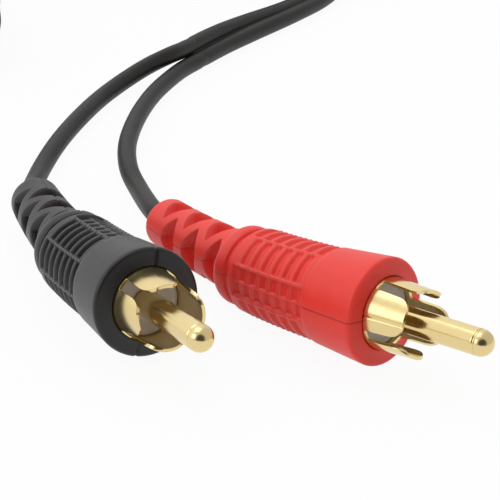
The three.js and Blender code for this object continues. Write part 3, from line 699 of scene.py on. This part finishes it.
def pinPiece(name, plug):
    m = metal
    edge = m["pinTip"] - m["pin"]
    t = np.radians(np.linspace(2, 90, 16))[:-1]
    profile = [(edge + m["pin"] * math.cos(x), m["pin"] * math.sin(x)) for x in t]
    profile += [(edge - back, m["pin"] - deep) for back, deep in m["groove"]]
    profile += [(x, m["pin"]) for x in np.linspace(edge - 0.4, -1.0, 12)]
    profile += [(m["shoulder"], m["pin"]), (m["shoulder"], m["tail"]), (m["tailEnd"], m["tail"])]
    sides = int(m["pinSides"] * plug["fine"])
    piece = turnedPiece(name + "_pin_turned", plug, profile, sides, "gold")
    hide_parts(name + "_pin")
    return piece


def insulatorPiece(name, plug):
    d = disc
    back = d["face"] - d["thickness"]
    across, over = d["bevel"]
    seat = metal["shoulder"] - d["step"]
    tight = metal["tail"] + d["clear"]
    profile = [(d["face"] - across, d["hole"]), (d["face"], d["hole"] + over),
               *[(d["face"] + lift, r) for lift, r in d["rings"]], (back, d["rings"][-1][1]),
               (back, d["hub"]), (metal["skirt"], d["hub"]), (metal["skirt"], tight),
               (seat, tight), (seat, d["hole"])]
    sides = int(d["sides"] * plug["fine"])
    piece = turnedPiece(name + "_insulator_disc", plug, profile, sides, "grey", True)
    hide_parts(name + "_insulator")
    return piece


# Gives a sheet of quads its thickness, with walls along every open edge.
def thickened(quads, count):
    edges = np.concatenate([quads[:, [0, 1]], quads[:, [1, 2]], quads[:, [2, 3]], quads[:, [3, 0]]])
    _, first, number = np.unique(np.sort(edges, axis=1), axis=0, return_index=True,
                                 return_counts=True)
    rim = edges[first[number == 1]]
    walls = np.stack([rim[:, 1], rim[:, 0], rim[:, 0] + count, rim[:, 1] + count], axis=1)
    return np.vstack([quads, quads[:, ::-1] + count, walls])


# A tube whose columns run from the rear edge to the petals' rounded fronts. A petal's radius
# is shell - lean * out ** bow, where out goes from 0 at its root to 1 at the longest tip.
def shellPiece(name, plug):
    m = metal
    steps = m["petalSteps"][0 if plug["fine"] == 1 else 1]
    half = m["petalSpread"] / 2
    onOne = np.linspace(-half, half, steps + 1)
    inGap = np.linspace(half, 90 - half, m["gapSteps"] + 1)[1:-1]
    columns = np.concatenate([90 * k + np.append(onOne, inGap) for k in range(4)])
    petalOf = np.concatenate([[k] * len(onOne) + [-1] * len(inGap) for k in range(4)])
    off = (columns + 45) % 90 - 45
    reach = np.array(plug["reach"])[petalOf]
    lean = np.array(plug["lean"])[petalOf]
    corner = np.degrees(m["corner"] / m["shell"])
    past = np.clip((np.abs(off) - (half - corner)) / corner, 0, 1)
    front = np.where(petalOf >= 0, reach - m["corner"] * (1 - np.sqrt(1 - past ** 2)), m["root"])
    phi = columns + plug["petals"]
    fromTab = np.abs((phi - 90 + 180) % 360 - 180)
    rear = np.where(fromTab < m["tabSpread"] / 2, m["tabEnd"], m["skirt"])
    back = np.linspace(rear, m["root"], m["tubeRows"] + 1)
    x = np.sin(np.linspace(0, 1, m["petalRows"] + 1)[1:] * np.pi / 2)[:, None]
    s = np.vstack([back, between(m["root"], front, x)])
    out = np.clip((s - m["root"]) / (m["tip"] - m["root"]), 0, 1)
    r = m["shell"] - lean * out ** plug["bow"]
    r[:m["tubeRows"] + 1] = m["shell"]
    # Butt seam of the rolled sheet
    near = np.abs((phi - plug["seam"] + 180) % 360 - 180) * np.pi / 180 * m["shell"]
    r = r - m["seam"] * np.clip(1 - near / m["seamHalf"], 0, 1)
    rows, count = s.shape
    quads = gridQuads(rows, count, False, True)
    row, col = quads[:, 0] // count, quads[:, 0] % count
    onPetal = (petalOf[col] >= 0) & (petalOf[(col + 1) % count] == petalOf[col])
    onTube = row < m["tubeRows"]
    onTab = (rear[col] == rear[(col + 1) % count]) | (row >= m["tabRows"])
    quads = quads[(onTube & onTab) | (~onTube & onPetal)]
    outside = placed(onPlug(s, r, phi), plug).reshape(-1, 3)
    inside = placed(onPlug(s, r - m["wall"], phi), plug).reshape(-1, 3)
    faces = thickened(quads, rows * count)
    used = np.unique(faces)
    fresh = np.full(2 * rows * count, -1)
    fresh[used] = np.arange(len(used))
    points = np.vstack([outside, inside])[used]
    piece = makeMesh(name + "_shell_rolled", points, fresh[faces], "gold")
    bevel = piece.modifiers.new("edges", "BEVEL")
    bevel.width = m["edge"] * mm
    bevel.segments = 2
    bevel.limit_method = "ANGLE"
    bevel.angle_limit = math.radians(55)
    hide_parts(name + "_shell")
    return piece


made = {name: [bootPiece(name, plug), shellPiece(name, plug), pinPiece(name, plug),
               insulatorPiece(name, plug)] for name, plug in plugs.items()}
print("plugs made")

# CAD parts that keep their shape
innerParts = {"inner_mould": "white", "lead_end": "jacket", "lead_core": "white",
              "conductor": "copper", "shield_tail": "copper"}
for name in plugs:
    for part, material in innerParts.items():
        node = frame["nodes"][name + "_" + part]
        node.data.materials.clear()
        node.data.materials.append(materials[material])
        made[name].append(node)


# Ties: a thin plastic ribbon with a wire along its middle, bent round the coil, its ends
# twisted together on top

tie = {"gap": 0.05, "slack": 0.1, "thickness": 0.3, "wire": 0.4, "wireHalf": 0.42, "width": 4.0,
       "corner": 0.9, "cornerSteps": 8, "across": 17, "tail": 9.0, "twists": 2.6, "steps": 46,
       "strandGap": 0.42, "strand": (0.62, 0.3), "strandSides": 12, "splay": 0.9,
       "splayFrom": 0.8, "ribEdge": 0.4, "lift": 0.95, "flat": 0.6}


def tiePiece(name, angle, node):
    corner = tie["corner"]
    left = coil["bore"] - tie["gap"] - tie["slack"]
    right = coil["radius"] + tie["gap"] + tie["slack"]
    lowest = coil["base"] - tie["gap"]
    highest = coil["top"] + tie["gap"] + tie["slack"]
    loop = []
    corners = ((right - corner, lowest + corner, -90), (right - corner, highest - corner, 0),
               (left + corner, highest - corner, 90), (left + corner, lowest + corner, 180))
    for x, z, start in corners:
        for t in np.radians(np.linspace(start, start + 90, tie["cornerSteps"])):
            loop.append((x, z, math.cos(t), math.sin(t)))
    loop = np.array(loop)
    w = np.linspace(-tie["width"] / 2, tie["width"] / 2, tie["across"])
    rib = tie["thickness"] + tie["wire"] * np.exp(-(w / tie["wireHalf"]) ** 2)
    rib[[0, -1]] = tie["thickness"] * tie["ribEdge"]
    section = np.array([*zip(w, corner + rib), *[(x, corner) for x in w[::-1]]])
    local = np.zeros((len(loop), len(section), 3))
    local[..., 0] = loop[:, None, 0] + loop[:, None, 2] * section[None, :, 1]
    local[..., 1] = section[None, :, 0]
    local[..., 2] = loop[:, None, 1] + loop[:, None, 3] * section[None, :, 1]
    points = [local.reshape(-1, 3)]
    quads = [gridQuads(len(loop), len(section), True, True)]
    caps = []
    # Each strand winds round the line of the tail, and splays at its end
    start, steps, sides = len(points[0]), tie["steps"], tie["strandSides"]
    gap, (wide, thick) = tie["strandGap"], tie["strand"]
    x = np.linspace(0, 1, steps)
    a = np.radians(np.linspace(0, 360, sides, endpoint=False))
    for first in (0, 180):
        turn = np.radians(first) + x * tie["twists"] * 2 * np.pi
        spread = gap + tie["splay"] * smooth((x - tie["splayFrom"]) / (1 - tie["splayFrom"]))
        line = np.stack([(left + right) / 2 + spread * np.cos(turn), x * tie["tail"],
                         highest + tie["lift"] + gap + spread * tie["flat"] * np.sin(turn)], axis=1)
        ahead = np.gradient(line, axis=0)
        ahead /= np.linalg.norm(ahead, axis=1)[:, None]
        outward = np.stack([np.cos(turn), np.zeros(steps), np.sin(turn)], axis=1)
        across = np.cross(ahead, outward)
        ring = (line[:, None] + across[:, None] * (wide * np.cos(a))[None, :, None]
                + outward[:, None] * (thick * np.sin(a))[None, :, None])
        points.append(ring.reshape(-1, 3))
        quads.append(gridQuads(steps, sides, False, True, start))
        caps += [np.arange(sides)[::-1] + start, np.arange(sides) + start + (steps - 1) * sides]
        start += steps * sides
    points = np.vstack(points)
    c, d = math.cos(math.radians(angle)), math.sin(math.radians(angle))
    spun = np.stack([coil["centre"][0] + points[:, 0] * c - points[:, 1] * d,
                     coil["centre"][1] + points[:, 0] * d + points[:, 1] * c, points[:, 2]], axis=1)
    layers = {"around": np.zeros(len(spun)), "along": points[:, 0]}
    piece = makeMesh(name, spun, np.vstack(quads), "tie", layers, caps)
    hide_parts(node)


tiePiece("coil_tie_ribbon_1", 20, "coil_tie_1")
tiePiece("coil_tie_ribbon_2", 200, "coil_tie_2")
print("ties made")


# Floor, world and lamps

# The world is brighter behind and to the left, and dark in front, which shows in the metal.
# "from" is the range of the direction's share and "to" that of the strength.
studio = {"floor": "f4f4f4", "floorGlow": 0.94, "half": 4.0}
sky = {"towards": (-0.70, 0.60, 0.40), "from": (0.1, 0.95), "to": (0.7, 1.1)}
room = {"towards": (0.1, -0.92, 0.3), "from": (0.68, 0.88), "to": (1.0, 0.1)}
softboxes = {"softbox_above": {"at": (-0.15, 0.05, 0.50), "width": 0.35, "power": 0.45},
             "softbox_left": {"at": (-0.45, -0.30, 0.25), "width": 0.3, "power": 0.5}}

paint, tree = newMaterial("painted_studio_floor")
shaded = addNode(tree, "ShaderNodeBsdfPrincipled", {"Base Color": linear(studio["floor"]),
                                                    "Roughness": 0.7, "Specular IOR Level": 0.2})
glow = addNode(tree, "ShaderNodeEmission", {"Color": (1, 1, 1, 1), "Strength": 1.0})
ray = addNode(tree, "ShaderNodeLightPath").outputs
direct = addNode(tree, "ShaderNodeMath", {0: ray["Is Camera Ray"], 1: ray["Is Glossy Ray"]},
                 operation="MAXIMUM")
either = addNode(tree, "ShaderNodeMath", {0: direct.outputs["Value"],
                                          1: ray["Is Transmission Ray"]}, operation="MAXIMUM")
share = addNode(tree, "ShaderNodeMath", {0: either.outputs["Value"], 1: studio["floorGlow"]},
                operation="MULTIPLY")
both = addNode(tree, "ShaderNodeMixShader", {0: share.outputs["Value"], 1: shaded.outputs["BSDF"],
                                             2: glow.outputs["Emission"]})
addNode(tree, "ShaderNodeOutputMaterial", {"Surface": both.outputs["Shader"]})

bpy.context.view_layer.update()
lowest = min(0.0, *[min(v.co.z for v in group[0].data.vertices) for group in made.values()])
print("lowest boot point, mm:", round(lowest / mm, 3))
half = studio["half"]
floorMesh = bpy.data.meshes.new("floor")
floorMesh.from_pydata([(-half, -half, lowest), (half, -half, lowest), (half, half, lowest),
                       (-half, half, lowest)], [], [(0, 1, 2, 3)])
floorMesh.materials.append(paint)
floor = bpy.data.objects.new("floor", floorMesh)
bpy.context.scene.collection.objects.link(floor)

world = bpy.data.worlds.new("studio")
bpy.context.scene.world = world
world.use_nodes = True
tree = world.node_tree
tree.nodes.clear()
place = addNode(tree, "ShaderNodeTexCoord").outputs["Generated"]


def strengthTowards(part):
    facing = addNode(tree, "ShaderNodeVectorMath", {0: place, 1: part["towards"]},
                     operation="DOT_PRODUCT")
    return addNode(tree, "ShaderNodeMapRange", {
        "Value": facing.outputs["Value"], "From Min": part["from"][0], "From Max": part["from"][1],
        "To Min": part["to"][0], "To Max": part["to"][1]},
        interpolation_type="SMOOTHSTEP").outputs["Result"]


strength = addNode(tree, "ShaderNodeMath", {0: strengthTowards(sky), 1: strengthTowards(room)},
                   operation="MULTIPLY")
tent = addNode(tree, "ShaderNodeBackground", {"Color": (1, 1, 1, 1),
                                              "Strength": strength.outputs["Value"]})
white = addNode(tree, "ShaderNodeBackground", {"Color": (1, 1, 1, 1), "Strength": 1.0})
ray = addNode(tree, "ShaderNodeLightPath").outputs
both = addNode(tree, "ShaderNodeMixShader", {0: ray["Is Camera Ray"], 1: tent.outputs["Background"],
                                             2: white.outputs["Background"]})
addNode(tree, "ShaderNodeOutputWorld", {"Surface": both.outputs["Shader"]})

for name, box in softboxes.items():
    lamp = bpy.data.lights.new(name, "AREA")
    lamp.shape = "SQUARE"
    lamp.size = box["width"]
    lamp.energy = box["power"]
    holder = bpy.data.objects.new(name, lamp)
    facing = Vector(box["at"]).to_track_quat("Z", "Y")
    holder.matrix_world = Matrix.Translation(box["at"]) @ facing.to_matrix().to_4x4()
    bpy.context.scene.collection.objects.link(holder)

bpy.context.scene.view_settings.view_transform = "Standard"
print("stage made")
